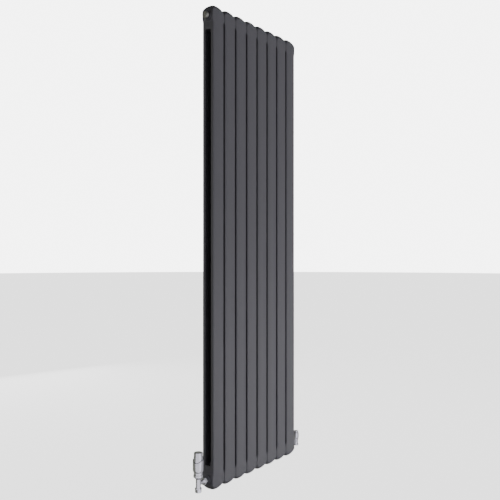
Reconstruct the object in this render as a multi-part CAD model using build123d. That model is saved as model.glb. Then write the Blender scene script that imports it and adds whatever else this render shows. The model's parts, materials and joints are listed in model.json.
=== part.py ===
from build123d import *
import math
import os

os.makedirs("parts", exist_ok=True)

# A vertical two-column radiator of flat steel tubes, with an angled thermostatic valve at its
# left foot and an angled lockshield valve at its right foot. Millimetres.
# X runs along the radiator, Y points to the wall, Z points up. The origin lies on the wall face,
# at mid-height and mid-length, in the middle of the screw holes of the four wall brackets.

# Radiator
sections = 8
pitch = 73.5            # from one section's centre to the next
height = 1800.0         # crown to crown
depth = 50.0            # front face to rear face
wall_to_hub = 65.0      # wall face to the hub axis
hub_drop = 44.5         # crown to the hub axis
steel = 1.5             # wall of heads and tubes

# Heads and tubes
tube_gap = 9.3          # between the tubes of neighbouring sections
tube_depth = 12.0
tube_corner = 3.0
head_height = 110.0
head_corner = 8.0
arch_height = 30.0      # from the crown down to where the arch stands upright
shoulder_radius = 24.0  # the tighter arc at each side of the arch
shoulder_end = 50.0     # below this the head narrows to the tube
taper_end = 70.0
web_end = 94.0          # below this the front and rear stubs stand apart
web_corner = 6.0
hub_bore = 15.0         # radius of the waterway from head to head

# Threaded ends of the headers. Heights along them are measured outward from the end section.
thread_radius = 10.3
thread_clearance = 0.05
thread_length = 12.0
bush_wall = 6.7
bush_stands_out = 3.5
bush_length = 16.0
seal_height = 2.0
seal_fit = 0.3          # the seal's hole is this much larger than the thread
seal_wall = 2.0
plug_rim = 0.7          # of the plug's flange beyond its seal
plug_flange_height = 3.0
plug_hex = 22.0         # across flats, of the vent plug
plug_head = 12.4        # radius of the blanking plug's round head
plug_key = 10.0         # across flats of its socket for a hexagon key
plug_key_depth = 6.0
plug_face = 15.0        # from the end section to the plug's face
vent_screw = 3.0
vent_seat = 1.5
vent_outlet = 1.2
vent_square = 4.0       # across the flats of the square end

# Unions between the header and the valves
valve_offset = 52.0     # from the end section to a valve's upright axis
tail_rim = 2.9          # of the tail's flange beyond its thread
tail_flange_end = 8.0
tail_tube = 8.0
tail_wall = 2.0
tail_head_step = 2.4    # the captive head stands out this much from the tail's tube
tail_head_end = 16.0
tail_head_height = 3.5
union_step = 0.5        # the valve's thread is this much larger than the tail's head
union_wall = 2.1
union_end = 25.0
union_lip = 2.3
union_clearance = 0.3
outlet_bore = 5.0
outlet_wall = 1.75

# Pipe ends
pipe_bore = 7.6         # radius of the socket for a 15 mm pipe
pipe_clearance = 0.1    # more than the socket, in the nut's mouth
pipe_stop = 1.6         # step that the pipe's end meets
olive_wall = 0.8

# Thermostatic valve body. Heights are measured from the hub axis.
trv_barrel_wall = 1.65
trv_male_wall = 2.2
trv_body_end = -26.5
trv_nut_top = -20.0
trv_nut_bottom = -32.0
trv_nut_wall = 1.15
trv_flange_rim = 2.8
trv_flange_top = -16.0
trv_socket_top = -12.0
trv_seat_top = -6.0
trv_seat_height = 2.0
trv_cone_low = 16.4
trv_cone_high = 21.8
trv_top_thread = 14.8
trv_top_rim = 0.4
trv_top = 27.4

# Thermostatic insert, pin and spring
disc_overlap = 1.2      # of the disc beyond the seat's bore
disc_clearance = 0.8
disc_height = 3.0
insert_bottom = 14.4
insert_floor = 1.5
insert_top = 29.4
insert_rim = 1.2
pin_radius = 1.5
pin_fit = 0.05
pin_top = 39.4
pin_collar_low = 23.4
pin_collar_height = 1.5
pin_travel = 1.0        # each way from rest
spring_wire = 0.4
spring_fit = 1.0        # between the pin and the wire
spring_turns = 5
spring_rim = 0.3        # of the pin's collar beyond the spring
collar_clearance = 1.0
gland_nut_wall = 1.0
gland_nut_top = 32.4
running_gap = 0.3       # between bodies that pass each other without touching

# Thermostatic head
collar_wall = 3.2
collar_low = 22.1
collar_shoulder = 24.4
collar_lead = 0.6
collar_top = 32.9
collar_edge = 1.0
base_step = 1.8         # of the base's neck beyond the valve's top thread
base_rim = 1.2
base_flange_low = 50.4
base_flange_height = 2.0
base_top = 67.4
base_bore_clearance = 1.3
guide_low = 47.4
guide_wall = 3.15
grip_clearance = 0.5
grip_wall = 1.8
grip_low = 40.9
grip_low_wall = 0.8
grip_chamfer_top = 49.4
seam_mean = 83.6        # height of the wavy joint between grip and cap
seam_wave = 5.4         # up and down from the mean
grip_turn = 16.2        # rest angle of the wave, in degrees
cap_fit = 0.1
cap_low = 71.4
cap_taper = 2.0
cap_taper_top = 102.4
cap_top = 113.4
cap_round = 4.0
cap_wall = 2.0
sensor_radius = 11.0
sensor_low = 55.4
sensor_top = 99.4
plunger_radius = 3.0

# Lockshield valve. Heights are measured from the hub axis.
lock_socket_wall = 1.0
lock_body_end = -16.5
lock_nut_top = -12.5
lock_nut_bottom = -20.0
lock_nut_wall = 1.75
lock_socket_top = -8.0
lock_seat_top = -5.5
lock_seat_overlap = 1.0
lock_outlet_bore = 4.0
lock_cone_low = -3.0
lock_cone_high = 8.0
lock_cone_rim = 1.3
lock_top = 15.0
lock_plug_radius = 5.4
lock_plug_clearance = 1.1
lock_plug_height = 8.0
lock_plug_travel = 1.5
lock_plug_floor = 1.0
spindle_thread = 2.4
spindle_step = 0.4
spindle_collar_step = 1.9
spindle_collar_low = 8.5
spindle_collar_height = 1.5
spindle_top = 28.0
spindle_square = 3.9    # across the flats of the square end
lock_gland_top = 20.0
lock_cap_fit = 0.1
lock_cap_skirt = 1.5
lock_cap_flare = 1.8
lock_cap_step_in = 2.6
lock_cap_wide_low = 17.0
lock_cap_wide_high = 35.0
lock_cap_step = 38.5
lock_cap_top = 44.0
lock_cap_wall = 1.8

# Wall brackets
bracket_gap_index = 2   # sections between a bracket and the end of the radiator
bracket_height = 520.0  # above and below mid-height
bracket_width = 30.0
bracket_steel = 3.0
bracket_crown = 56.0
bracket_foot = 34.0
screw_radius = 4.25
screw_spacing = 90.0    # between the two screw holes of one bracket
pad_height = 3.0
pad_length = 50.0
clamp_bar_width = 44.0
clamp_bar_length = 24.0
clamp_bar_steel = 4.0
clamp_bolt = 3.0
clamp_bolt_fit = 0.3
clamp_head_rim = 2.0
clamp_head_height = 5.0
clamp_nut_wall = 2.0
clamp_nut_height = 5.0

# Worked out from the sizes above
length = sections * pitch
hub_y = -wall_to_hub
hub_z = height / 2 - hub_drop
tube_width = pitch - tube_gap
tube_y = depth / 2 - tube_depth / 2
rear_face = wall_to_hub - depth / 2
section_x = [(i - (sections - 1) / 2) * pitch for i in range(sections)]
bracket_x = length / 2 - bracket_gap_index * pitch

bush_radius = thread_radius + bush_wall
seal_inner = thread_radius + seal_fit
seal_outer = seal_inner + seal_wall
plug_flange = seal_outer + plug_rim
vent_bore = vent_screw + thread_clearance
tail_flange = thread_radius + tail_rim
tail_bore = tail_tube - tail_wall
tail_head = tail_tube + tail_head_step
union_thread = tail_head + union_step
union_hex = 2 * (union_thread + union_wall)
outlet_neck = outlet_bore + outlet_wall

trv_barrel = pipe_bore + trv_barrel_wall
trv_male = pipe_bore + trv_male_wall
trv_nut_hex = 2 * (trv_male + thread_clearance + trv_nut_wall)
trv_flange = trv_male + trv_flange_rim
trv_inlet_bore = pipe_bore - pipe_stop
trv_cone_radius = trv_top_thread + trv_top_rim
olive_radius = pipe_bore + olive_wall
disc_radius = outlet_bore + disc_overlap
trv_chamber = disc_radius + disc_clearance
insert_flange = trv_chamber + insert_rim
spring_radius = pin_radius + spring_fit + spring_wire
pin_collar = spring_radius + spring_wire + spring_rim
insert_bore = pin_collar + collar_clearance
gland_nut_radius = insert_bore + gland_nut_wall

collar_radius = trv_top_thread + collar_wall
base_neck = trv_top_thread + base_step
base_flange = base_neck + base_rim
base_bore = insert_flange + base_bore_clearance
base_sleeve = sensor_radius + pin_fit + guide_wall
grip_bore = base_flange + grip_clearance
grip_radius = grip_bore + grip_wall
grip_low_radius = base_neck + grip_low_wall
cap_radius = grip_bore - cap_fit
cap_top_radius = cap_radius - cap_taper

lock_barrel = pipe_bore + lock_socket_wall
lock_nut_radius = lock_barrel + thread_clearance + lock_nut_wall
lock_chamber = lock_plug_radius + lock_plug_clearance
lock_seat_bore = lock_plug_radius - lock_seat_overlap
lock_cone_radius = lock_barrel + lock_cone_rim
lock_gland_hex = 2 * lock_chamber
spindle_neck = spindle_thread + spindle_step
spindle_collar = lock_chamber - spindle_collar_step
cap_bore = lock_barrel + lock_cap_fit
lock_cap_low_radius = cap_bore + lock_cap_skirt
lock_cap_radius = lock_cap_low_radius + lock_cap_flare
lock_cap_step_radius = lock_cap_radius - lock_cap_step_in
lock_cap_low = lock_cone_high + running_gap


def save(name, *shapes):
    """Writes the solids of the shapes as one node."""
    solids = [solid for shape in shapes for solid in shape.solids()]
    export_step(Compound(solids), f"parts/{name}.step")


def turned(*outline):
    """A solid turned about Z from (radius, height) points."""
    points = [(radius, 0, z) for radius, z in outline]
    return revolve(Face(Wire.make_polygon(points, close=True)), Axis.Z)


def rod(radius, low, high):
    """A round bar along Z."""
    return Pos(0, 0, low) * extrude(Circle(radius), high - low)


def ring(outer, inner, low, high):
    """A plain ring about Z."""
    return rod(outer, low, high) - rod(inner, low, high)


def hexagon(across_flats, low, high):
    """A hexagonal bar along Z with its corners turned off at both ends."""
    flat = across_flats / 2
    corner = flat / math.cos(math.radians(30))
    bevel = (corner - flat) * 0.6
    bar = Pos(0, 0, low) * extrude(RegularPolygon(flat, 6, major_radius=False), high - low)
    return bar & turned((0, low), (flat, low), (corner, low + bevel), (corner, high - bevel),
                        (flat, high), (0, high))


def header_end(side, level):
    """Frame at a header's end: Z points outward from the end section along the hub axis."""
    return Pos(side * length / 2, hub_y, level * hub_z) * Rot(0, side * 90, 0)


def valve_at(side):
    """Frame of a valve: its upright axis, with the hub axis at height 0."""
    return Pos(side * (length / 2 + valve_offset), hub_y, -hub_z)


# Heads: pressed steel domes that join the front tube and the rear tube of a section


def front_outline(inset):
    """Half of a head seen from the front: a basket arch, an upright shoulder and a soft taper."""
    half = pitch / 2 - inset
    tube_half = tube_width / 2 - inset
    small = shoulder_radius - inset
    centre_x = half - small
    crown_radius = (arch_height**2 + centre_x**2 - shoulder_radius**2) / (
        2 * (arch_height - shoulder_radius))
    turn = math.atan2(centre_x, crown_radius - arch_height)
    large = crown_radius - inset

    def on_arc(x, z, radius, angle):
        return x + radius * math.sin(angle), z + radius * math.cos(angle)

    crown_mid = on_arc(0, -crown_radius, large, turn / 2)
    meeting = on_arc(0, -crown_radius, large, turn)
    shoulder_mid = on_arc(centre_x, -arch_height, small, (turn + math.pi / 2) / 2)
    middle = ((half + tube_half) / 2, -(shoulder_end + taper_end) / 2)
    curve = ThreePointArc((0, -inset), crown_mid, meeting)
    curve += ThreePointArc(meeting, shoulder_mid, (half, -arch_height))
    curve += Line((half, -arch_height), (half, -shoulder_end))
    curve += TangentArc((half, -shoulder_end), middle, tangent=(0, -1))
    curve += TangentArc((tube_half, -taper_end), middle, tangent=(0, 1))
    curve += Polyline((tube_half, -taper_end), (tube_half, -head_height), (0, -head_height))
    return make_face(curve + mirror(curve, about=Plane.YZ))


def head_form(inset):
    """The closed form of a top head with its crown at height 0, drawn in by inset all round."""
    radius = depth / 2 - inset
    form = extrude(Plane.XZ * front_outline(inset), depth, both=True)
    side = Pos(0, 0, -depth / 2) * Rot(0, 90, 0) * extrude(Circle(radius), pitch, both=True)
    side += Pos(0, 0, -depth / 2) * Box(2 * pitch, 2 * radius, head_height,
                                        align=(Align.CENTER, Align.CENTER, Align.MAX))
    upper = RectangleRounded(pitch - 2 * inset, 2 * radius, head_corner - inset)
    lower = RectangleRounded(tube_width - 2 * inset, 2 * radius, tube_corner - inset)
    plan = Pos(0, 0, -taper_end) * extrude(upper, taper_end)
    plan += Pos(0, 0, -head_height) * extrude(lower, head_height - taper_end)
    return form & side & plan


def web_slot(inset):
    """The gap between the front stub and the rear stub, grown by inset all round."""
    half = depth / 2 - tube_depth + inset
    top = -web_end + inset
    bottom = -head_height - steel
    slot = Box(2 * pitch, 2 * half, top - bottom, align=(Align.CENTER, Align.CENTER, Align.MAX))
    slot = Pos(0, 0, top) * slot
    upper = slot.edges().filter_by(Axis.X).group_by(Axis.Z)[-1]
    return fillet(upper, web_corner)


def head(left_bore, right_bore):
    """A hollow top head, bored on each side for the waterway or a threaded bush."""
    shell = head_form(0) - web_slot(0) - (head_form(steel) - web_slot(steel))
    for side, bore in ((-1, left_bore), (1, right_bore)):
        shell -= Pos(0, 0, -hub_drop) * Rot(0, side * 90, 0) * rod(bore, pitch / 4, pitch)
    return shell


heads = [head(hub_bore, hub_bore)] * sections
heads[0] = head(bush_radius, hub_bore)
heads[-1] = head(hub_bore, bush_radius)
for number, (x, shape) in enumerate(zip(section_x, heads), start=1):
    top_head = Pos(x, hub_y, height / 2) * shape
    save(f"section_{number}_top_head", top_head)
    save(f"section_{number}_bottom_head", mirror(top_head, about=Plane.XY))

# Tubes: flat rounded steel tube, one in front and one behind in each section
tube_length = height - 2 * head_height
tube_section = RectangleRounded(tube_width, tube_depth, tube_corner) - RectangleRounded(
    tube_width - 2 * steel, tube_depth - 2 * steel, tube_corner - steel)
tube = Pos(0, 0, -tube_length / 2) * extrude(tube_section, tube_length)
for number, x in enumerate(section_x, start=1):
    save(f"section_{number}_tubes", *[Pos(x, hub_y + side * tube_y, 0) * tube for side in (-1, 1)])

# Threaded bushes welded into the four ends of the headers
bush = ring(bush_radius, thread_radius, bush_stands_out - bush_length, bush_stands_out)
ends = [(side, level) for side in (-1, 1) for level in (-1, 1)]
save("hub_bushes", *[header_end(side, level) * bush for side, level in ends])

# Blanking plug, air vent plug, their seals and the bleed screw
shank_radius = thread_radius - thread_clearance
flange_low = bush_stands_out + seal_height
flange_high = flange_low + plug_flange_height
plug = rod(shank_radius, bush_stands_out - thread_length, flange_low)
plug += rod(plug_flange, flange_low, flange_high)
blanking_plug = plug + rod(plug_head, flange_low, plug_face)
key_socket = extrude(RegularPolygon(plug_key / 2, 6, major_radius=False), plug_key_depth + 1)
blanking_plug -= Pos(0, 0, plug_face - plug_key_depth) * key_socket
save("blanking_plug", header_end(-1, 1) * blanking_plug)

vent_seat_z = bush_stands_out
vent_plug = plug + hexagon(plug_hex, flange_high - plug_flange_height / 2, plug_face)
vent_plug -= rod(vent_bore, vent_seat_z, plug_face + 1)
vent_plug -= rod(vent_seat, -thread_length, vent_seat_z + 1)
outlet_z = flange_high + 2.5
vent_plug -= Pos(0, 0, outlet_z) * Rot(90, 0, 0) * rod(vent_outlet, 0, plug_flange)
save("air_vent_plug", header_end(1, 1) * vent_plug)

screw_low = vent_seat_z + running_gap
bleed_screw = turned((0, screw_low), (vent_seat, screw_low), (vent_screw, screw_low + 2),
                     (vent_screw, plug_face - 1), (0, plug_face - 1))
bleed_screw += Pos(0, 0, plug_face - 1) * extrude(Rectangle(vent_square, vent_square), vent_square)
save("bleed_screw", header_end(1, 1) * bleed_screw)

plug_seal = ring(seal_outer, seal_inner, bush_stands_out, flange_low)
save("plug_seals", *[header_end(side, 1) * plug_seal for side in (-1, 1)])

# Radiator tails and their union nuts, alike for both valves
tail = rod(shank_radius, bush_stands_out - thread_length, bush_stands_out)
tail += rod(tail_flange, bush_stands_out, tail_flange_end)
tail += rod(tail_tube, tail_flange_end, tail_head_end)
tail += rod(tail_head, tail_head_end - tail_head_height, tail_head_end)
tail -= rod(tail_bore, bush_stands_out - thread_length - 1, tail_head_end + 1)
save("radiator_tails", *[header_end(side, -1) * tail for side in (-1, 1)])

lip_high = tail_head_end - tail_head_height - thread_clearance
union_nut = hexagon(union_hex, lip_high - union_lip, union_end)
union_nut -= rod(union_thread + thread_clearance, lip_high, union_end + 1)
union_nut -= rod(tail_tube + union_clearance, lip_high - union_lip - 1, lip_high + 1)
save("union_nuts", *[header_end(side, -1) * union_nut for side in (-1, 1)])


def outlet(bore):
    """The arm of a valve body that reaches into its union nut, and the bore through it."""
    arm = rod(union_thread, tail_head_end, union_end) + rod(outlet_neck, union_end - 1, valve_offset)
    return arm, rod(bore, tail_head_end - 1, valve_offset)


# Thermostatic valve body
arm, arm_bore = outlet(outlet_bore)
trv_body = turned(
    (0, trv_body_end), (trv_male, trv_body_end), (trv_male, trv_nut_top), (trv_flange, trv_nut_top),
    (trv_flange, trv_flange_top), (trv_barrel, trv_flange_top), (trv_barrel, trv_cone_low),
    (trv_cone_radius, trv_cone_high), (trv_top_thread, trv_cone_high), (trv_top_thread, trv_top),
    (0, trv_top))
trv_body = valve_at(-1) * trv_body + header_end(-1, -1) * arm
trv_body -= header_end(-1, -1) * arm_bore
trv_body -= valve_at(-1) * turned(
    (0, trv_body_end - 1), (pipe_bore, trv_body_end - 1), (pipe_bore, trv_socket_top),
    (trv_inlet_bore, trv_socket_top), (trv_inlet_bore, trv_seat_top - trv_seat_height),
    (outlet_bore, trv_seat_top - trv_seat_height), (outlet_bore, trv_seat_top),
    (trv_chamber, trv_seat_top), (trv_chamber, trv_top + 1), (0, trv_top + 1))
save("trv_body", trv_body)

# Compression nuts and olives, which grip a 15 mm pipe


def compression_nut(blank, male_radius, body_end, bottom):
    """Bores a nut blank for the body's thread, its olive and the pipe."""
    lip = (body_end - bottom) / 2
    blank -= rod(male_radius + thread_clearance, bottom + lip, 0)
    return blank - rod(pipe_bore + pipe_clearance, bottom - 1, 0)


def olive(body_end, bottom):
    """The soft ring between the nut's shoulder and the end of the body."""
    return ring(olive_radius, pipe_bore, (body_end + bottom) / 2, body_end)


trv_nut = hexagon(trv_nut_hex, trv_nut_bottom, trv_nut_top)
trv_nut = compression_nut(trv_nut, trv_male, trv_body_end, trv_nut_bottom)
save("trv_compression_nut", valve_at(-1) * trv_nut)
lock_nut = rod(lock_nut_radius, lock_nut_bottom, lock_nut_top)
lock_nut = compression_nut(lock_nut, lock_barrel, lock_body_end, lock_nut_bottom)
save("lockshield_compression_nut", valve_at(1) * lock_nut)
save("olives", valve_at(-1) * olive(trv_body_end, trv_nut_bottom),
     valve_at(1) * olive(lock_body_end, lock_nut_bottom))

# Thermostatic insert with its gland nut, pin, disc and spring
insert_radius = trv_chamber - thread_clearance
pin_hole = pin_radius + pin_fit
floor_top = insert_bottom + insert_floor
gland_low = pin_collar_low + pin_collar_height + pin_travel + running_gap
insert = rod(insert_radius, insert_bottom, trv_top) + rod(insert_flange, trv_top, insert_top)
insert -= rod(pin_hole, insert_bottom - 1, insert_top) + rod(insert_bore, floor_top, gland_low)
insert -= rod(gland_nut_radius + thread_clearance, gland_low, insert_top + 1)
save("trv_insert", valve_at(-1) * insert)

gland_nut = rod(gland_nut_radius, gland_low, insert_top) + hexagon(
    2 * gland_nut_radius, insert_top, gland_nut_top)
save("trv_gland_nut", valve_at(-1) * (gland_nut - rod(pin_hole, gland_low - 1, gland_nut_top + 1)))

disc_low = trv_seat_top + pin_travel + running_gap
disc_top = disc_low + disc_height
pin = rod(pin_radius, disc_low + disc_height / 2, pin_top)
pin += rod(pin_collar, pin_collar_low, pin_collar_low + pin_collar_height)
pin += rod(2 * pin_radius, disc_top, disc_top + 1)
save("trv_pin", valve_at(-1) * pin)
disc = rod(disc_radius, disc_low, disc_top) - rod(pin_radius, disc_low + disc_height / 2, disc_top)
save("trv_disc", valve_at(-1) * disc)

spring_low = floor_top + spring_wire + pin_fit
spring_high = pin_collar_low - spring_wire - pin_fit
coil = Helix((spring_high - spring_low) / spring_turns, spring_high - spring_low, spring_radius)
wire = Plane(coil @ 0, z_dir=coil % 0) * Circle(spring_wire)
spring = sweep(wire, path=coil, is_frenet=True)
save("trv_spring", valve_at(-1) * Pos(0, 0, spring_low) * spring)

# Thermostatic head: collar nut, base, wax sensor, grip and cap
base_spigot = trv_top_thread + thread_clearance
collar = turned(
    (base_spigot, collar_low), (base_spigot + collar_lead, collar_low), (collar_radius, collar_shoulder),
    (collar_radius, collar_top - collar_edge), (collar_radius - collar_edge, collar_top),
    (base_spigot, collar_top))
save("trv_collar_nut", valve_at(-1) * collar)

sensor_guide = sensor_radius + pin_fit
base = rod(trv_top_thread, trv_top, collar_top) + rod(base_neck, collar_top, base_flange_low)
base += rod(base_flange, base_flange_low, base_flange_low + base_flange_height)
base += rod(base_sleeve, base_flange_low, base_top)
base -= rod(base_bore, trv_top - 1, base_top) + rod(sensor_guide, guide_low, base_top + 1)
save("trv_head_base", valve_at(-1) * base)

sensor = rod(sensor_radius, sensor_low, sensor_top)
sensor += rod(plunger_radius, pin_top + running_gap, sensor_low)
save("trv_sensor", valve_at(-1) * sensor)

seam_high = seam_mean + seam_wave
seam_low = seam_mean - seam_wave
seam_arc = ThreePointArc((-grip_radius, seam_low), (0, seam_high), (grip_radius, seam_low))
seam_lines = Polyline((grip_radius, seam_low), (2 * grip_radius, seam_low), (2 * grip_radius, cap_top),
                      (-2 * grip_radius, cap_top), (-2 * grip_radius, seam_low), (-grip_radius, seam_low))
above_seam = extrude(Plane.XZ * make_face([seam_arc, *seam_lines.edges()]), 2 * grip_radius, both=True)
lip_top = base_flange_low - running_gap
grip = turned(
    (base_neck + thread_clearance, grip_low), (grip_low_radius, grip_low), (grip_radius, grip_chamfer_top),
    (grip_radius, cap_top), (grip_bore, cap_top), (grip_bore, lip_top),
    (base_neck + thread_clearance, lip_top))
grip -= above_seam
save("trv_grip", valve_at(-1) * Rot(0, 0, grip_turn) * grip)

cap_outer = turned((0, cap_low), (cap_radius, cap_low), (cap_radius, seam_mean),
                   (cap_top_radius, cap_taper_top), (cap_top_radius, cap_top), (0, cap_top))
cap_outer = fillet(cap_outer.edges().filter_by(GeomType.CIRCLE).group_by(Axis.Z)[-1], cap_round)
cap_inner = turned((0, cap_low - 1), (cap_radius - cap_wall, cap_low - 1),
                   (cap_radius - cap_wall, seam_mean), (cap_top_radius - cap_wall, cap_taper_top),
                   (cap_top_radius - cap_wall, cap_top - cap_wall), (0, cap_top - cap_wall))
save("trv_cap", valve_at(-1) * (cap_outer - cap_inner))

# Lockshield body
arm, arm_bore = outlet(lock_outlet_bore)
lock_body = turned(
    (0, lock_body_end), (lock_barrel, lock_body_end), (lock_barrel, lock_cone_low),
    (lock_cone_radius, lock_cone_high), (lock_barrel, lock_cone_high), (lock_barrel, lock_top),
    (0, lock_top))
lock_body = valve_at(1) * lock_body + header_end(1, -1) * arm
lock_body -= header_end(1, -1) * arm_bore
lock_body -= valve_at(1) * turned(
    (0, lock_body_end - 1), (pipe_bore, lock_body_end - 1), (pipe_bore, lock_socket_top),
    (lock_seat_bore, lock_socket_top), (lock_seat_bore, lock_seat_top), (lock_chamber, lock_seat_top),
    (lock_chamber, lock_top + 1), (0, lock_top + 1))
save("lockshield_body", lock_body)

# Lockshield gland nut, spindle and plug
lock_gland_low = spindle_collar_low + spindle_collar_height + thread_clearance
lock_gland = rod(lock_chamber - thread_clearance, lock_gland_low, lock_top)
lock_gland += hexagon(lock_gland_hex, lock_top, lock_gland_top)
lock_gland -= rod(spindle_neck + pin_fit, lock_gland_low - 1, lock_gland_top + 1)
save("lockshield_gland_nut", valve_at(1) * lock_gland)

plug_low = lock_seat_top + lock_plug_travel + running_gap
plug_high = plug_low + lock_plug_height
spindle_low = plug_low + lock_plug_floor + lock_plug_travel + running_gap
spindle = rod(spindle_thread, spindle_low, spindle_collar_low)
spindle += rod(spindle_collar, spindle_collar_low, spindle_collar_low + spindle_collar_height)
spindle += rod(spindle_neck, spindle_collar_low, lock_gland_top)
square = Rectangle(spindle_square, spindle_square)
spindle += Pos(0, 0, lock_gland_top) * extrude(square, spindle_top - lock_gland_top)
save("lockshield_spindle", valve_at(1) * spindle)
lock_plug = rod(lock_plug_radius, plug_low, plug_high)
lock_plug -= rod(spindle_thread + pin_fit, plug_low + lock_plug_floor, plug_high + 1)
save("lockshield_plug", valve_at(1) * lock_plug)

# Lockshield cap, a push-on cover over the spindle
cap_inside = lock_cap_radius - lock_cap_wall
lock_cap = turned(
    (cap_bore, lock_cap_low), (lock_cap_low_radius, lock_cap_low), (lock_cap_radius, lock_cap_wide_low),
    (lock_cap_radius, lock_cap_wide_high), (lock_cap_step_radius, lock_cap_step),
    (lock_cap_step_radius, lock_cap_top), (0, lock_cap_top), (0, lock_cap_step - lock_cap_wall),
    (lock_cap_step_radius - lock_cap_wall, lock_cap_step - lock_cap_wall),
    (cap_inside, lock_cap_wide_high - lock_cap_wall), (cap_inside, lock_cap_wide_low), (cap_bore, lock_top))
save("lockshield_cap", valve_at(1) * lock_cap)

# Wall brackets: a bent steel hat on the wall, a pad, and a bar bolted across two rear tubes.
# In a bracket's own frame X runs along the radiator, Y points up and Z points out of the wall.
crown_front = rear_face - pad_height
tube_front = rear_face + tube_depth
bar_front = tube_front + clamp_bar_steel
leg_y = bracket_crown / 2
foot_y = leg_y + bracket_foot
half_hat = [(foot_y, 0), (foot_y, bracket_steel), (leg_y, bracket_steel), (leg_y, crown_front)]
half_inner = [(leg_y - bracket_steel, crown_front - bracket_steel), (leg_y - bracket_steel, 0)]
hat_points = half_hat + [(-y, z) for y, z in reversed(half_hat)]
hat_points += [(-y, z) for y, z in reversed(half_inner)] + half_inner
hat_face = Face(Wire.make_polygon([(0, y, z) for y, z in hat_points], close=True))
hat = extrude(hat_face, bracket_width / 2, both=True)
for side in (-1, 1):
    hat -= Pos(0, side * screw_spacing / 2, 0) * rod(screw_radius, -1, bracket_steel + 1)
bolt_hole = rod(clamp_bolt + clamp_bolt_fit, 0, bar_front + 1)


def plate(width, across, low, high):
    """A flat bar or pad of a bracket with the bolt hole through it."""
    return Pos(0, 0, low) * extrude(Rectangle(width, across), high - low) - bolt_hole


nut_front = crown_front - bracket_steel
clamp_bolt_shape = rod(clamp_bolt, nut_front - clamp_nut_height, bar_front)
clamp_bolt_shape += rod(clamp_bolt + clamp_head_rim, bar_front, bar_front + clamp_head_height)
clamp_nut = hexagon(2 * (clamp_bolt + clamp_nut_wall), nut_front - clamp_nut_height, nut_front)
clamp_nut -= rod(clamp_bolt + thread_clearance, 0, nut_front + 1)
bracket_pieces = {
    "wall_brackets": hat - bolt_hole,
    "bracket_pads": plate(clamp_bar_width, pad_length, crown_front, rear_face),
    "clamp_bars": plate(clamp_bar_width, clamp_bar_length, tube_front, bar_front),
    "clamp_bolts": clamp_bolt_shape,
    "clamp_nuts": clamp_nut,
}
for name, shape in bracket_pieces.items():
    save(name, *[Pos(side * bracket_x, 0, level * bracket_height) * Rot(90, 0, 0) * shape
                 for side, level in ends])
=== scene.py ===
import json
import math

import bmesh
import bpy
from mathutils import Matrix, Vector


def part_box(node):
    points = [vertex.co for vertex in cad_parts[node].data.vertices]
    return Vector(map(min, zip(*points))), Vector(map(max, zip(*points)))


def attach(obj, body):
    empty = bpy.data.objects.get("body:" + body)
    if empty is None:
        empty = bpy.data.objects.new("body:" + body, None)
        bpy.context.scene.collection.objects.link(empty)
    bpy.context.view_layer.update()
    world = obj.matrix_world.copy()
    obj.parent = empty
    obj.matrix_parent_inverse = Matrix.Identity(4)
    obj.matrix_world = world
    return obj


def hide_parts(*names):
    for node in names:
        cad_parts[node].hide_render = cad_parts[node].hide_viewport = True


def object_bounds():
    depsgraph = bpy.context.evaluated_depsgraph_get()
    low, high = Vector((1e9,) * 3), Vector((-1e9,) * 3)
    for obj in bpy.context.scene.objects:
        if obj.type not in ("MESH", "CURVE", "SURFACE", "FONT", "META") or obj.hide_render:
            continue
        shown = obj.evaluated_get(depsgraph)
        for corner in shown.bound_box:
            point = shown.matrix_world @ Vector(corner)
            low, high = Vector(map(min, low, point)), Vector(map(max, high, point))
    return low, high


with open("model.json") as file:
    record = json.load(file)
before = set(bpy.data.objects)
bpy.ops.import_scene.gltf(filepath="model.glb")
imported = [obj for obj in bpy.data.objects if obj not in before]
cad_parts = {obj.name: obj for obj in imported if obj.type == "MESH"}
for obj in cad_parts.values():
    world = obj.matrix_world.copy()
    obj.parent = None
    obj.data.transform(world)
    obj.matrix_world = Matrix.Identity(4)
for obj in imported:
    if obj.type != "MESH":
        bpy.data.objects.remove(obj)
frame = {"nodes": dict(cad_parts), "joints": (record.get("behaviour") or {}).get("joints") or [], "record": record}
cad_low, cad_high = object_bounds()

# A tall two-column radiator of flat steel tubes, with a thermostatic valve at its left foot and a
# lockshield valve at its right foot. Metres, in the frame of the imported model: X runs along the
# radiator, Y points to the wall, Z points up.

# Camera. It stands level, well to the left of the radiator and in front of it, and looks along the
# row of sections.
mm = 0.001
camera_place = Vector((-2313.25, -1644.5, -9.5)) * mm
camera_turn = math.radians(-55.5)
camera = bpy.data.objects.new("camera", bpy.data.cameras.new("camera"))
bpy.context.scene.collection.objects.link(camera)
camera.location = camera_place
camera.rotation_euler = (math.radians(90), 0, camera_turn)
camera.data.lens = 50
camera.data.sensor_width = 36
bpy.context.scene.camera = camera

# Studio. A pale floor that only the camera sees, a large soft light low in front and to the right,
# two weaker ones behind, and a wide card that only glossy surfaces mirror. The world is bright in
# front, dimmer behind and dark to the left, and white to the camera itself.
floor_drop = 140 * mm
floor_radius = 30.0
floor_mesh = bmesh.new()
bmesh.ops.create_circle(floor_mesh, cap_ends=True, segments=96, radius=floor_radius,
                        matrix=Matrix.Translation((0, 0, cad_low.z - floor_drop)))
floor_data = bpy.data.meshes.new("floor")
floor_mesh.to_mesh(floor_data)
floor_mesh.free()
floor = bpy.data.objects.new("floor", floor_data)
bpy.context.scene.collection.objects.link(floor)
floor.visible_diffuse = False
floor.visible_glossy = False
floor_paint = bpy.data.materials.new("floor_paper")
floor_paint.use_nodes = True
floor_paint.node_tree.nodes["Principled BSDF"].inputs["Base Color"].default_value = (0.3, 0.3, 0.3, 1)
floor_paint.node_tree.nodes["Principled BSDF"].inputs["Roughness"].default_value = 0.9
floor_paint.node_tree.nodes["Principled BSDF"].inputs["Emission Color"].default_value = (1, 1, 1, 1)
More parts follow.
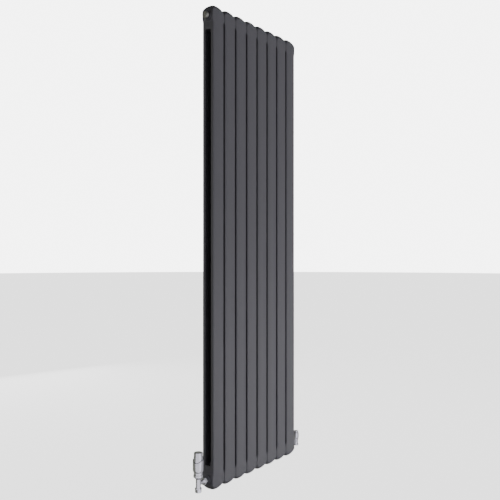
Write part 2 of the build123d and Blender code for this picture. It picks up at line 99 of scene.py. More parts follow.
floor_paint.node_tree.nodes["Principled BSDF"].inputs["Emission Strength"].default_value = 2.3
floor_data.materials.append(floor_paint)


def softbox(name, place, aim, width, height, power):
    """A rectangular area light at place that faces aim, not seen itself by the camera."""
    light = bpy.data.lights.new(name, "AREA")
    light.shape = "RECTANGLE"
    light.size = width
    light.size_y = height
    light.energy = power
    lamp = bpy.data.objects.new(name, light)
    bpy.context.scene.collection.objects.link(lamp)
    lamp.location = place
    lamp.rotation_euler = (Vector(aim) - Vector(place)).to_track_quat("-Z", "Y").to_euler()
    lamp.visible_camera = False
    return lamp


front_light = softbox("front_softbox", (2.3, -2.6, -1.2), (0, 0, -0.6), 2.0, 1.8, 210)
side_light = softbox("side_softbox", (-2.4, 2.1, 0.2), (-0.3, -0.05, 0), 1.6, 2.6, 26)
back_light = softbox("back_softbox", (0.9, 3.2, 0.3), (0, 0, 0), 2.4, 2.4, 110)
for lamp in (front_light, side_light, back_light):
    lamp.visible_glossy = False
card = softbox("reflector_card", (-1.04, -1.45, -0.6), (-0.216, -0.884, -0.6), 5.5, 4.2, 70)
card.data.color = (0.93, 0.92, 1.0)
card.visible_diffuse = False

world = bpy.data.worlds.new("studio")
bpy.context.scene.world = world
world.use_nodes = True
tree = world.node_tree
tree.nodes.clear()
sky_output = tree.nodes.new("ShaderNodeOutputWorld")
direction = tree.nodes.new("ShaderNodeTexCoord")
bearing = tree.nodes.new("ShaderNodeTexGradient")
bearing.gradient_type = "RADIAL"
ramp = tree.nodes.new("ShaderNodeValToRGB")
stops = [(0.0, (0.05, 0.052, 0.045)), (0.12, (0.06, 0.06, 0.06)), (0.24, (0.52, 0.52, 0.56)),
         (0.4, (0.55, 0.55, 0.58)), (0.52, (0.3, 0.3, 0.3)), (0.62, (0.2, 0.208, 0.18)),
         (0.86, (0.26, 0.27, 0.235)), (1.0, (0.05, 0.052, 0.045))]
for place_on_ramp, colour in stops[1:-1]:
    ramp.color_ramp.elements.new(place_on_ramp)
for element, (place_on_ramp, colour) in zip(ramp.color_ramp.elements, stops):
    element.position = place_on_ramp
    element.color = (*colour, 1)
split = tree.nodes.new("ShaderNodeSeparateXYZ")
overhead = tree.nodes.new("ShaderNodeMapRange")
overhead.inputs["From Min"].default_value = 0.35
overhead.inputs["From Max"].default_value = 0.9
overhead.inputs["To Min"].default_value = 0.85
overhead.inputs["To Max"].default_value = 0.1
around = tree.nodes.new("ShaderNodeBackground")
paper = tree.nodes.new("ShaderNodeBackground")
paper.inputs["Color"].default_value = (1, 1, 1, 1)
paper.inputs["Strength"].default_value = 6
seen = tree.nodes.new("ShaderNodeLightPath")
mixed = tree.nodes.new("ShaderNodeMixShader")
tree.links.new(direction.outputs["Generated"], bearing.inputs["Vector"])
tree.links.new(direction.outputs["Generated"], split.inputs["Vector"])
tree.links.new(split.outputs["Z"], overhead.inputs["Value"])
tree.links.new(overhead.outputs["Result"], around.inputs["Strength"])
tree.links.new(bearing.outputs["Fac"], ramp.inputs["Fac"])
tree.links.new(ramp.outputs["Color"], around.inputs["Color"])
tree.links.new(seen.outputs["Is Camera Ray"], mixed.inputs["Fac"])
tree.links.new(around.outputs["Background"], mixed.inputs[1])
tree.links.new(paper.outputs["Background"], mixed.inputs[2])
tree.links.new(mixed.outputs["Shader"], sky_output.inputs["Surface"])

# Heads. Each section ends in a domed head pressed from sheet steel, welded to its front and rear
# tube and to the heads beside it. All of it is powder coated in satin anthracite.
sections = 8
pitch = 73.5 * mm
height = 1800 * mm
depth = 50 * mm
tube_gap = 9.3 * mm
tube_depth = 12 * mm
tube_corner = 3 * mm
head_height = 110 * mm
arch_height = 30 * mm
shoulder_radius = 24 * mm
shoulder_end = 50 * mm
taper_end = 70 * mm
web_end = 94 * mm
web_corner = 6 * mm
crown_roll = 24 * mm        # radius of the roll from the front face over the crown
shoulder_roll = 4.5 * mm    # and round the shoulders
hub_drop = 44.5 * mm
ring_step = 5.2 * mm        # from one pressed ring to the next, round the end of the header
ring_depth = 0.7 * mm
ring_start = 18 * mm        # the rings begin just outside the bush
ring_end = 46 * mm
ring_fade = 6 * mm          # and grow shallow over this width
ring_margin = 1 * mm        # and they stop short of the front and the rear face
flank_start = 0.2 * pitch   # from the middle of the head to where its outer flank begins
flank_blend = 0.15 * pitch
overshoot = 1 * mm          # of a cutting form past the face that it cuts
joint_place = {joint["name"]: joint.get("pos_m") for joint in frame["joints"]}
radiator_y = joint_place["trv_handwheel_turn"][1]
tube_width = pitch - tube_gap


def coated(name, colour, roughness, peel):
    """A coat or a moulded skin: a fine peel, slight clouding of the colour and uneven gloss."""
    material = bpy.data.materials.new(name)
    material.use_nodes = True
    nodes, links = material.node_tree.nodes, material.node_tree.links
    shader = nodes["Principled BSDF"]
    place = nodes.new("ShaderNodeTexCoord")
    cloud = nodes.new("ShaderNodeTexNoise")
    cloud.inputs["Scale"].default_value = 9
    cloud.inputs["Detail"].default_value = 5
    tone = nodes.new("ShaderNodeValToRGB")
    tone.color_ramp.elements[0].color = (*[c * 0.93 for c in colour], 1)
    tone.color_ramp.elements[1].color = (*[c * 1.07 for c in colour], 1)
    grain = nodes.new("ShaderNodeTexNoise")
    grain.inputs["Scale"].default_value = 700
    grain.inputs["Detail"].default_value = 3
    gloss = nodes.new("ShaderNodeMapRange")
    gloss.inputs["To Min"].default_value = roughness - 0.06
    gloss.inputs["To Max"].default_value = roughness + 0.06
    bump = nodes.new("ShaderNodeBump")
    bump.inputs["Strength"].default_value = peel
    bump.inputs["Distance"].default_value = 0.1 * mm
    links.new(place.outputs["Object"], cloud.inputs["Vector"])
    links.new(place.outputs["Object"], grain.inputs["Vector"])
    links.new(cloud.outputs["Fac"], tone.inputs["Fac"])
    links.new(tone.outputs["Color"], shader.inputs["Base Color"])
    links.new(cloud.outputs["Fac"], gloss.inputs["Value"])
    links.new(gloss.outputs["Result"], shader.inputs["Roughness"])
    links.new(grain.outputs["Fac"], bump.inputs["Height"])
    links.new(bump.outputs["Normal"], shader.inputs["Normal"])
    return material


def piece(name, form, material, body, nodes, crease=35):
    """Makes the object that stands for the nodes, smooth up to the crease angle in degrees."""
    bmesh.ops.recalc_face_normals(form, faces=form.faces)
    data = bpy.data.meshes.new(name)
    form.to_mesh(data)
    form.free()
    data.shade_smooth()
    data.set_sharp_from_angle(angle=math.radians(crease))
    data.materials.append(material)
    made = bpy.data.objects.new(name, data)
    bpy.context.scene.collection.objects.link(made)
    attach(made, body)
    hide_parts(*nodes)


def combined(form, tool, operation):
    """One closed form cut by, joined to or kept within another, by an exact boolean."""
    objects = []
    for part in (form, tool):
        bmesh.ops.recalc_face_normals(part, faces=part.faces)
        data = bpy.data.meshes.new("scratch")
        part.to_mesh(data)
        part.free()
        scratch = bpy.data.objects.new("scratch", data)
        bpy.context.scene.collection.objects.link(scratch)
        objects.append(scratch)
    boolean = objects[0].modifiers.new("boolean", "BOOLEAN")
    boolean.operation = operation
    boolean.solver = "EXACT"
    boolean.object = objects[1]
    result = bmesh.new()
    result.from_object(objects[0], bpy.context.evaluated_depsgraph_get())
    for scratch in objects:
        bpy.data.objects.remove(scratch)
    return result


def rounded_bar(width, across, low, high, corner):
    """An upright bar with a rounded rectangular section."""
    form = bmesh.new()
    bmesh.ops.create_cube(form, size=1, matrix=Matrix.Translation((0, 0, (low + high) / 2))
                          @ Matrix.Diagonal((width, across, high - low, 1)))
    upright = [e for e in form.edges if abs(e.verts[0].co.z - e.verts[1].co.z) > 0.5 * (high - low)]
    bmesh.ops.bevel(form, geom=upright, offset=corner, segments=6, affect="EDGES", profile=0.5,
                    material=-1)
    return form


def head_outline(steps):
    """Half of the head's front outline from crown to foot: x, z and the angle it faces."""
    half = pitch / 2
    centre_x = half - shoulder_radius
    crown = (arch_height**2 + centre_x**2 - shoulder_radius**2) / (2 * (arch_height - shoulder_radius))
    turn = math.atan2(centre_x, crown - arch_height)
    points = []
    for step in range(steps):
        angle = turn * step / steps
        points.append((crown * math.sin(angle), crown * (math.cos(angle) - 1), angle))
    for step in range(2 * steps + 1):
        angle = turn + (math.pi / 2 - turn) * step / (2 * steps)
        points.append((centre_x + shoulder_radius * math.sin(angle),
                       shoulder_radius * math.cos(angle) - arch_height, angle))
    for step in range(1, steps // 3 + 1):
        points.append((half, -arch_height - (shoulder_end - arch_height) * step / (steps // 3),
                       math.pi / 2))
    for step in range(1, steps + 1):
        share = step / steps
        ease = share * share * (3 - 2 * share)
        points.append((half - tube_gap / 2 * ease, -shoulder_end - (taper_end - shoulder_end) * share,
                       math.pi / 2))
    points.append((tube_width / 2, -head_height, math.pi / 2))
    return points


def head_form(steps=12, across=0, rows=9):
    """A top head with its crown at height 0. Its edges roll widest over the crown."""
    half = head_outline(steps)
    loop = [(-x, z, -angle) for x, z, angle in reversed(half[1:])] + half
    form = bmesh.new()

    def ring(share, side):
        """A loop of the outline at a share of the roll: 0 on the face, 1 on the flat side."""
        verts = []
        for x, z, angle in loop:
            tube_share = min(1, max(0, (-z - shoulder_end) / (taper_end - shoulder_end)))
            radius = shoulder_roll + (crown_roll - shoulder_roll) * math.cos(angle) ** 2
            radius += (tube_corner - shoulder_roll) * tube_share
            inset = radius * (1 - math.sin(share * math.pi / 2))
            back = depth / 2 - radius * (1 - math.cos(share * math.pi / 2))
            upward = 0 if z <= -head_height else math.cos(angle)
            verts.append(form.verts.new((x - inset * math.sin(angle), side * back,
                                         z - inset * upward)))
        return [form.edges.new(pair) for pair in zip(verts, verts[1:] + verts[:1])]

    rings = [ring(step / rows, -1) for step in range(rows + 1)]
    rings += [ring(1, 2 * step / (across + 1) - 1) for step in range(1, across + 1)]
    rings += [ring(step / rows, 1) for step in range(rows, -1, -1)]
    for first, second in zip(rings, rings[1:]):
        bmesh.ops.bridge_loops(form, edges=first + second)
    for face_ring in (rings[0], rings[-1]):
        bmesh.ops.contextual_create(form, geom=face_ring)
    slot_top = -web_end
    slot_low = -head_height - overshoot
    slot = bmesh.new()
    bmesh.ops.create_cube(slot, size=1, matrix=Matrix.Translation((0, 0, (slot_top + slot_low) / 2))
                          @ Matrix.Diagonal((2 * pitch, depth - 2 * tube_depth, slot_top - slot_low, 1)))
    upper = [e for e in slot.edges if all(v.co.z > slot_top - mm for v in e.verts)
             and abs(e.verts[0].co.x - e.verts[1].co.x) > pitch]
    bmesh.ops.bevel(slot, geom=upper, offset=web_corner, segments=6, affect="EDGES", profile=0.5,
                    material=-1)
    return combined(form, slot, "DIFFERENCE")


def pressed_rings(form, side):
    """Presses shallow rings round the header's end into the outer flank of an end head."""
    for vert in form.verts:
        radius = math.hypot(vert.co.y, vert.co.z + hub_drop)
        flank = min(1, max(0, (side * vert.co.x - flank_start) / flank_blend))
        fade = min(1, max(0, (ring_end - radius) / ring_fade))
        if radius > ring_start and abs(vert.co.y) < depth / 2 - ring_margin:
            wave = 0.5 - 0.5 * math.cos(2 * math.pi * radius / ring_step)
            vert.co.x -= side * ring_depth * wave * flank * fade


radiator_paint = coated("radiator_powder_coat", (0.105, 0.103, 0.115), 0.5, 0.12)
section_x = [(number - (sections + 1) / 2) * pitch for number in range(1, sections + 1)]
for number, x in enumerate(section_x, start=1):
    for level, place_name in ((1, "top"), (-1, "bottom")):
        if number in (1, sections):
            head = head_form(steps=36, across=30)
            pressed_rings(head, -1 if number == 1 else 1)
        else:
            head = head_form()
        if level < 0:
            bmesh.ops.scale(head, vec=(1, 1, -1), verts=head.verts)
        bmesh.ops.translate(head, vec=(x, radiator_y, level * height / 2), verts=head.verts)
        node = f"section_{number}_{place_name}_head"
        piece(f"head_{number}_{place_name}", head, radiator_paint, "radiator", [node])

# Tubes. Flat steel tube with rounded edges, one in front and one behind in each section, welded to
# the stubs of the heads above and below. Same coat as the heads.
steel = 1.5 * mm
tube_half = height / 2 - head_height
for number, x in enumerate(section_x, start=1):
    pair = bmesh.new()
    for side in (-1, 1):
        tube = rounded_bar(tube_width, tube_depth, -tube_half, tube_half, tube_corner)
        end_faces = [f for f in tube.faces if abs(f.normal.z) > 0.9]
        bmesh.ops.delete(tube, geom=end_faces, context="FACES")
        bmesh.ops.solidify(tube, geom=tube.faces, thickness=steel)
        bmesh.ops.translate(tube, vec=(x, radiator_y + side * (depth - tube_depth) / 2, 0),
                            verts=tube.verts)
        tube_mesh = bpy.data.meshes.new("scratch")
        tube.to_mesh(tube_mesh)
        pair.from_mesh(tube_mesh)
        bpy.data.meshes.remove(tube_mesh)
        tube.free()
    piece(f"tubes_{number}", pair, radiator_paint, "radiator",
          [f"section_{number}_tubes"])

# Bushes. A threaded steel ring is welded into each open end of the two headers, with a weld bead
# round its foot, and coated with the radiator.
half_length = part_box("section_8_top_head")[1].x
hub_z = joint_place["bleed_screw_turn"][2]
thread_radius = 10.3 * mm
bush_radius = 17 * mm
bush_low = -12.5 * mm
bush_high = 3.5 * mm
weld = 1.4 * mm
weld_out = 0.2 * mm         # the bead stands out this far beyond the head at its widest


def soften(form, rounding, angle=25, segments=3):
    """Rounds the edges whose two faces meet at more than the angle in degrees."""
    sharp = [e for e in form.edges if len(e.link_faces) == 2
             and e.calc_face_angle() > math.radians(angle)]
    bmesh.ops.bevel(form, geom=sharp, offset=rounding, segments=segments, affect="EDGES",
                    profile=0.5, material=-1, clamp_overlap=True)


def turned(outline, rounding=0.3 * mm, steps=96):
    """A form turned about Z from (radius, height) points, with its corners rounded."""
    form = bmesh.new()
    verts = [form.verts.new((radius, 0, z)) for radius, z in outline]
    chain = verts if outline[0][0] == 0 else verts + verts[:1]
    edges = [form.edges.new(pair) for pair in zip(chain, chain[1:])]
    bmesh.ops.spin(form, geom=verts + edges, cent=(0, 0, 0), axis=(0, 0, 1), angle=2 * math.pi,
                   steps=steps, use_merge=True)
    bmesh.ops.remove_doubles(form, verts=form.verts, dist=1e-7)
    if rounding:
        soften(form, rounding)
    return form


def placed(form, *places):
    """Copies of the form moved to each place, in one bmesh."""
    data = bpy.data.meshes.new("scratch")
    form.to_mesh(data)
    form.free()
    group = bmesh.new()
    for place in places:
        count = len(group.verts)
        group.from_mesh(data)
        group.verts.ensure_lookup_table()
        bmesh.ops.transform(group, matrix=place, verts=group.verts[count:])
    bpy.data.meshes.remove(data)
    return group


def header_end(side, level):
    """Frame at a header's end: Z points outward from the end section along the hub axis."""
    return (Matrix.Translation((side * half_length, radiator_y, level * hub_z))
            @ Matrix.Rotation(side * math.pi / 2, 4, "Y"))


header_ends = [header_end(side, level) for side in (-1, 1) for level in (-1, 1)]
bush = turned([(thread_radius, bush_low), (bush_radius, bush_low), (bush_radius, -weld),
               (bush_radius + weld, -weld), (bush_radius + weld, weld_out), (bush_radius, weld),
               (bush_radius, bush_high), (thread_radius, bush_high)])
piece("header_bushes", placed(bush, *header_ends), radiator_paint, "radiator",
      ["hub_bushes"])

# Plugs. The top header is closed by a round plug with a key socket at its left end, and by a
# hexagon plug with a bleed screw at its right end. Both are nickel plated brass on a rubber seal.
flange_low = 5.5 * mm
flange_high = 8.5 * mm
flange_radius = 13.3 * mm
plug_face = 15 * mm
plug_head = 12.4 * mm
plug_round = 1.2 * mm
key_width = 10 * mm
key_depth = 6 * mm
shank_radius = 10.25 * mm
shank_low = -8.5 * mm
vent_width = 22 * mm
vent_bore = 3.05 * mm
vent_floor = 3.5 * mm


def plated(name, colour, roughness, stretch=(1, 1, 1), grain=600):
    """Plated brass: the colour clouds a little and fine polishing grain breaks the gloss."""
    material = bpy.data.materials.new(name)
    material.use_nodes = True
    nodes, links = material.node_tree.nodes, material.node_tree.links
    shader = nodes["Principled BSDF"]
    shader.inputs["Metallic"].default_value = 1.0
    place = nodes.new("ShaderNodeTexCoord")
    stretched = nodes.new("ShaderNodeMapping")
    stretched.inputs["Scale"].default_value = stretch
    cloud = nodes.new("ShaderNodeTexNoise")
    cloud.inputs["Scale"].default_value = 60
    cloud.inputs["Detail"].default_value = 4
    fine = nodes.new("ShaderNodeTexNoise")
    fine.inputs["Scale"].default_value = grain
    fine.inputs["Detail"].default_value = 4
    tone = nodes.new("ShaderNodeValToRGB")
    tone.color_ramp.elements[0].color = (*[c * 0.9 for c in colour], 1)
    tone.color_ramp.elements[1].color = (*[min(1, c * 1.06) for c in colour], 1)
    gloss = nodes.new("ShaderNodeMapRange")
    gloss.inputs["From Min"].default_value = 0.3
    gloss.inputs["From Max"].default_value = 0.7
    gloss.inputs["To Min"].default_value = roughness * 0.8
    gloss.inputs["To Max"].default_value = roughness * 1.25
    bump = nodes.new("ShaderNodeBump")
    bump.inputs["Strength"].default_value = 0.12
    bump.inputs["Distance"].default_value = 0.05 * mm
    links.new(place.outputs["Object"], stretched.inputs["Vector"])
    links.new(place.outputs["Object"], cloud.inputs["Vector"])
    links.new(stretched.outputs["Vector"], fine.inputs["Vector"])
    links.new(cloud.outputs["Fac"], tone.inputs["Fac"])
    links.new(tone.outputs["Color"], shader.inputs["Base Color"])
    links.new(fine.outputs["Fac"], gloss.inputs["Value"])
    links.new(gloss.outputs["Result"], shader.inputs["Roughness"])
    links.new(fine.outputs["Fac"], bump.inputs["Height"])
    links.new(bump.outputs["Normal"], shader.inputs["Normal"])
    return material


def hexagon(across, low, high, chamfer=0.6, bore=0):
    """A hexagon bar along Z with its corners turned off at both ends, and a round bore."""
    corner = across / math.sqrt(3)
    slope = (corner - across / 2) * chamfer
    reach = corner + 0.01 * mm
    form = bmesh.new()
    bmesh.ops.create_circle(form, cap_ends=True, segments=6, radius=corner,
                            matrix=Matrix.Translation((0, 0, low)))
    made = bmesh.ops.extrude_face_region(form, geom=form.faces[:])["geom"]
    bmesh.ops.translate(form, vec=(0, 0, high - low),
                        verts=[v for v in made if isinstance(v, bmesh.types.BMVert)])
    barrel = turned([(0, low), (across / 2, low), (reach, low + slope), (reach, high - slope),
                     (across / 2, high), (0, high)], rounding=0)
    form = combined(form, barrel, "INTERSECT")
    if bore:
        hole = turned([(0, low - overshoot), (bore, low - overshoot), (bore, high + overshoot),
                       (0, high + overshoot)], rounding=0)
        form = combined(form, hole, "DIFFERENCE")
    return form


nickel = plated("satin_nickel", (0.42, 0.42, 0.385), 0.3)
plug = turned([(0, shank_low), (shank_radius, shank_low), (shank_radius, flange_low),
               (flange_radius, flange_low), (flange_radius, flange_high), (plug_head, flange_high),
               (plug_head, plug_face - plug_round), (plug_head - plug_round, plug_face), (0, plug_face)])
key_socket = hexagon(key_width, plug_face - key_depth, plug_face + overshoot, chamfer=0)
plug = combined(plug, key_socket, "DIFFERENCE")
piece("blanking_plug_round", placed(plug, header_end(-1, 1)), nickel, "radiator",
      ["blanking_plug"])

vent = turned([(0, shank_low), (shank_radius, shank_low), (shank_radius, flange_low),
               (flange_radius, flange_low), (flange_radius, flange_high), (0, flange_high)])
vent = combined(vent, hexagon(vent_width, flange_high - overshoot, plug_face), "UNION")
screw_bore = turned([(0, vent_floor), (vent_bore, vent_floor), (vent_bore, plug_face + overshoot),
                     (0, plug_face + overshoot)], rounding=0)
vent = combined(vent, screw_bore, "DIFFERENCE")
piece("vent_plug_hexagon", placed(vent, header_end(1, 1)), nickel, "radiator",
      ["air_vent_plug"])

# Tails and union nuts. A tail is screwed into each bottom bush, and a captive hexagon nut on it
# draws the valve's arm against its head. Chrome plated brass.
union_width = 26 * mm
union_low = 10.15 * mm
union_high = 25 * mm
union_lip = 12.45 * mm
union_bore = 10.95 * mm
tail_hole = 8.3 * mm
union_rounding = 0.25 * mm
chrome = plated("bright_chrome", (0.84, 0.84, 0.87), 0.14)
union = hexagon(union_width, union_low, union_high)
inside = turned([(0, union_low - overshoot), (tail_hole, union_low - overshoot), (tail_hole, union_lip),
                 (union_bore, union_lip), (union_bore, union_high + overshoot),
                 (0, union_high + overshoot)], rounding=0)
union = combined(union, inside, "DIFFERENCE")
soften(union, union_rounding, angle=40, segments=2)
low_ends = [header_end(side, -1) for side in (-1, 1)]
piece("union_nut_pair", placed(union, *low_ends), chrome, "radiator", ["union_nuts"])

# Thermostatic valve body. A chrome plated brass casting with an upright barrel, an arm to the
# radiator on one side, a pipe socket below and a cone under the head's collar nut.
valve_offset = 52 * mm
trv_place = Matrix.Translation(joint_place["trv_handwheel_turn"])
tail_end = 16 * mm
arm_thread = 10.9 * mm
arm_neck = 6.75 * mm
arm_chamfer = 0.8 * mm
arm_fillet = 1 * mm
socket = 7.6 * mm
trv_barrel = 9.25 * mm
trv_male = 9.8 * mm
trv_flange = 12.6 * mm
trv_body_end = -26.5 * mm
trv_nut_top = -20 * mm
trv_nut_bottom = -32 * mm
trv_flange_top = -16 * mm
trv_cone_low = 16.4 * mm
trv_cone_high = 21.8 * mm
trv_spigot = 14.8 * mm
trv_step = 0.4 * mm          # of the cone beyond the spigot
trv_top = 27.4 * mm
trv_socket_depth = 14.5 * mm


def valve_body(outline, end, socket_depth, place, side):
    """A turned barrel with its arm to the radiator and the socket for the pipe."""
    barrel = placed(turned(outline), place)
    arm = turned([(0, tail_end), (arm_thread, tail_end), (arm_thread, union_high - arm_chamfer),
                  (arm_thread - arm_chamfer, union_high), (arm_neck + arm_fillet, union_high),
                  (arm_neck, union_high + arm_fillet), (arm_neck, valve_offset), (0, valve_offset)])
    body = combined(barrel, placed(arm, header_end(side, -1)), "UNION")
    pipe = turned([(0, end - overshoot), (socket, end - overshoot), (socket, end + socket_depth),
                   (0, end + socket_depth)], rounding=0)
    return combined(body, placed(pipe, place), "DIFFERENCE")


trv_outline = [
    (0, trv_body_end), (trv_male, trv_body_end), (trv_male, trv_nut_top), (trv_flange, trv_nut_top),
    (trv_flange, trv_flange_top), (trv_barrel, trv_flange_top), (trv_barrel, trv_cone_low),
    (trv_spigot + trv_step, trv_cone_high), (trv_spigot, trv_cone_high), (trv_spigot, trv_top),
    (0, trv_top)]
satin = plated("satin_chrome", (0.86, 0.85, 0.9), 0.2, stretch=(1, 1, 0.12), grain=1400)
trv_body = valve_body(trv_outline, trv_body_end, trv_socket_depth, trv_place, -1)
piece("trv_body_casting", trv_body, satin, "radiator", ["trv_body"])

# Compression nut of the thermostatic valve, machined from brass hexagon bar and satin chrome plated.
# It is screwed up the body's lower end and squeezes an olive onto the 15 mm heating pipe.
nut_width = 22 * mm
nut_gap = 0.4 * mm          # between the nut and the body's flange
nut_rounding = 0.4 * mm
pipe_gap = 0.1 * mm         # between the socket's size and the nut's bore
trv_nut = hexagon(nut_width, trv_nut_bottom, trv_nut_top - nut_gap, chamfer=1.2, bore=socket + pipe_gap)
soften(trv_nut, nut_rounding, angle=40)
piece("trv_pipe_nut", placed(trv_nut, trv_place), satin, "radiator", ["trv_compression_nut"])

# Collar nut. A smooth turned brass ring in satin chrome plate, which clamps the base of the
# thermostatic head onto the spigot of the valve body.
collar_low = 22.1 * mm
collar_shoulder = 24.4 * mm
collar_top = 32.9 * mm
collar_radius = 18 * mm
collar_bore = 14.9 * mm
collar_foot = 0.6 * mm      # width of the flat at its lower end
collar_chamfer = 1 * mm
collar = turned([(collar_bore, collar_low), (collar_bore + collar_foot, collar_low),
                 (collar_radius, collar_shoulder), (collar_radius, collar_top - collar_chamfer),
                 (collar_radius - collar_chamfer, collar_top), (collar_bore, collar_top)],
                rounding=0.5 * mm)
piece("trv_collar", placed(collar, trv_place), satin, "radiator", ["trv_collar_nut"])

# Grip. The outer shell of the head, in satin chrome plate, which is turned by hand on the neck of
# the base. Its upper rim rises and falls twice round the head, and it tapers in at the bottom.
grip_radius = 20.1 * mm
grip_bore = 18.3 * mm
grip_low = 40.9 * mm
grip_low_radius = 17.4 * mm
grip_taper = 49.4 * mm
neck_radius = 16.6 * mm
neck_gap = 0.1 * mm
lip_top = 50.1 * mm
seam_mean = 83.6 * mm
seam_wave = 5.4 * mm
seam_turn = math.radians(16.2)
seam_shoulder = 1.4 * mm
seam_band = 12 * mm         # the wave has died out this far below the rim
seam_reach = 5 * mm         # and lifts only what is nearer to the rim than this
rim_flat = 0.2 * mm


def seam_height(x, y):
    """Height of the joint between grip and cap in the direction of a point."""
    return seam_mean - seam_wave * math.cos(2 * (math.atan2(y, x) - seam_turn))


grip = turned([(neck_radius + neck_gap, grip_low), (grip_low_radius, grip_low),
               (grip_radius, grip_taper), (grip_radius, seam_mean - seam_band),
               (grip_radius, seam_mean - seam_shoulder), (grip_bore + rim_flat, seam_mean),
               (grip_bore, seam_mean), (grip_bore, seam_mean - seam_band), (grip_bore, lip_top),
               (neck_radius + neck_gap, lip_top)], rounding=0.5 * mm, steps=144)
for vert in grip.verts:
    if vert.co.z > seam_mean - seam_reach:
        vert.co.z += seam_height(vert.co.x, vert.co.y) - seam_mean
piece("trv_grip_shell", placed(grip, trv_place), satin, "trv_handwheel", ["trv_grip"])

# Cap. A thin shell in satin chrome plate that closes the top of the head. It is pushed down inside
# the grip's rim and turns with it, and a narrow groove between the two shows as a dark line.
cap_radius = 18.2 * mm
cap_low = 71.4 * mm
cap_taper_top = 102.4 * mm
cap_top = 113.4 * mm
cap_top_radius = 16.2 * mm
cap_wall = 2 * mm
cap_round = 2.6 * mm
cap_round_steps = 8
groove_height = 1.3 * mm    # of the shadow line above the grip's rim
groove_in = 0.9 * mm
groove_slope = 0.2 * mm
groove_zone = 2.1 * groove_height     # height over which the outer wall follows the wave
groove_wall = 1.5 * groove_in         # and how far in from the outside it does
cap_outline = [(0, cap_top), (cap_top_radius - cap_round, cap_top)]
for step in range(1, cap_round_steps + 1):
    angle = math.pi / 2 * step / cap_round_steps
    cap_outline.append((cap_top_radius - cap_round * (1 - math.sin(angle)),
                        cap_top - cap_round * (1 - math.cos(angle))))
cap_outline += [(cap_top_radius, cap_taper_top), (cap_radius, seam_mean + groove_height),
                (cap_radius - groove_in, seam_mean + groove_height - groove_slope),
                (cap_radius - groove_in, seam_mean - groove_height),
                (cap_radius, seam_mean - 2 * groove_height), (cap_radius, cap_low),
                (cap_radius - cap_wall, cap_low), (cap_radius - cap_wall, seam_mean),
                (cap_top_radius - cap_wall, cap_taper_top),
                (cap_top_radius - cap_wall, cap_top - cap_wall), (0, cap_top - cap_wall)]
cap = turned(cap_outline, rounding=0, steps=144)
taper = (cap_radius - cap_top_radius) / (cap_taper_top - seam_mean - groove_height)
for vert in cap.verts:
    if abs(vert.co.z - seam_mean) < groove_zone and vert.co.xy.length > cap_radius - groove_wall:
        lift = seam_height(vert.co.x, vert.co.y) - seam_mean
        vert.co.xy *= 1 - max(0, lift) * taper / cap_radius
        vert.co.z += lift
piece("trv_cap_shell", placed(cap, trv_place), satin, "trv_handwheel", ["trv_cap"],
      crease=30)

# Lockshield valve body. A chrome plated brass casting like the thermostatic one but shorter. Its
# barrel flares out towards the cap, and its neck above is bored for the gland nut and the spindle.
lock_place = Matrix.Translation(joint_place["lockshield_spindle_turn"])
lock_barrel = 8.6 * mm
lock_cone = 9.9 * mm
lock_body_end = -16.5 * mm
lock_cone_low = -3 * mm
lock_cone_high = 8 * mm
lock_top = 15 * mm
lock_bore = 6.5 * mm
lock_socket_depth = 8.5 * mm
lock_outline = [
    (0, lock_body_end), (lock_barrel, lock_body_end), (lock_barrel, lock_cone_low),
    (lock_cone, lock_cone_high), (lock_barrel, lock_cone_high), (lock_barrel, lock_top), (0, lock_top)]
lock_body = valve_body(lock_outline, lock_body_end, lock_socket_depth, lock_place, 1)
chamber = turned([(0, lock_cone_high), (lock_bore, lock_cone_high), (lock_bore, lock_top + overshoot),
                  (0, lock_top + overshoot)], rounding=0)
lock_body = combined(lock_body, placed(chamber, lock_place), "DIFFERENCE")
piece("lockshield_body_casting", lock_body, satin, "radiator", ["lockshield_body"])

# Compression ring of the lockshield valve, turned from brass and satin chrome plated. It is round
# outside, and it is screwed up the body's lower end and squeezes an olive onto the heating pipe.
ring_radius = 10.4 * mm
ring_top = -12.5 * mm
ring_bottom = -20 * mm
ring_lip = 1.75 * mm
ring_gap = 0.05 * mm        # between the ring and the barrel
lock_ring = turned([(socket + pipe_gap, ring_bottom), (ring_radius, ring_bottom),
                    (ring_radius, ring_top), (lock_barrel + ring_gap, ring_top),
                    (lock_barrel + ring_gap, ring_bottom + ring_lip),
                    (socket + pipe_gap, ring_bottom + ring_lip)], rounding=0.5 * mm)
piece("lockshield_pipe_ring", placed(lock_ring, lock_place), satin, "radiator",
      ["lockshield_compression_nut"])

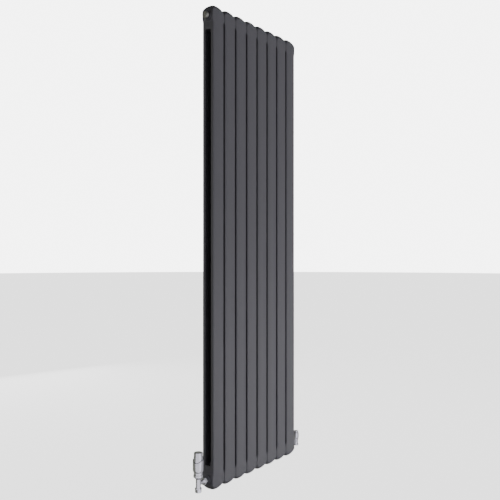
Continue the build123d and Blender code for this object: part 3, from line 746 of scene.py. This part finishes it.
# Lockshield cap. A cover with a stepped crown, in satin chrome plate. Its skirt is pushed over the
# neck of the body, and it pulls off upwards to free the spindle.
skirt_low = 8.3 * mm
skirt_radius = 10.2 * mm
cover_radius = 12 * mm
cover_low = 17 * mm
cover_high = 35 * mm
crown_step = 38.5 * mm
crown_radius = 9.4 * mm
crown_top = 44 * mm
cover_wall = 1.8 * mm
cover_bore = 8.7 * mm
cover = turned([
    (0, crown_step - cover_wall), (crown_radius - cover_wall, crown_step - cover_wall),
    (cover_radius - cover_wall, cover_high - cover_wall), (cover_radius - cover_wall, cover_low),
    (cover_bore, lock_top), (cover_bore, skirt_low), (skirt_radius, skirt_low), (cover_radius, cover_low),
    (cover_radius, cover_high), (crown_radius, crown_step), (crown_radius, crown_top), (0, crown_top)],
    rounding=0.7 * mm)
piece("lockshield_cover", placed(cover, lock_place), satin, "lockshield_cap",
      ["lockshield_cap"])

# Fittings that keep their CAD shape: wall brackets, bleed screw, seals, tails, olives, the head's
# base, and what works inside the two valves. Brass is machined bright, steel is drawn or zinc
# plated, the brackets are powder coated, and rubber and plastic are moulded with a fine grain.
moulded_grain = 0.25
brass = plated("machined_brass", (0.78, 0.56, 0.27), 0.26, stretch=(0.1, 0.1, 1), grain=2200)
steel_finish = plated("drawn_steel", (0.6, 0.6, 0.61), 0.3, stretch=(1, 1, 0.15), grain=1500)
zinc = plated("zinc_plate", (0.58, 0.6, 0.63), 0.42, grain=300)
rubber = coated("seal_rubber", (0.022, 0.022, 0.023), 0.62, moulded_grain)
plastic = coated("pad_plastic", (0.04, 0.04, 0.042), 0.5, moulded_grain)
bracket_coat = coated("bracket_powder_coat", (0.09, 0.089, 0.098), 0.55, 0.16)
finishes = {"chrome": chrome, "satin_chrome": satin, "brass": brass, "bright_steel": steel_finish,
            "zinc_steel": zinc, "seal_rubber": rubber, "pad_plastic": plastic,
            "bracket_paint": bracket_coat, "radiator_paint": radiator_paint}
for subpart in frame["record"]["subparts"]:
    node = frame["nodes"][subpart["node"]]
    node.data.materials.clear()
    node.data.materials.append(finishes[subpart["material_slot"]])
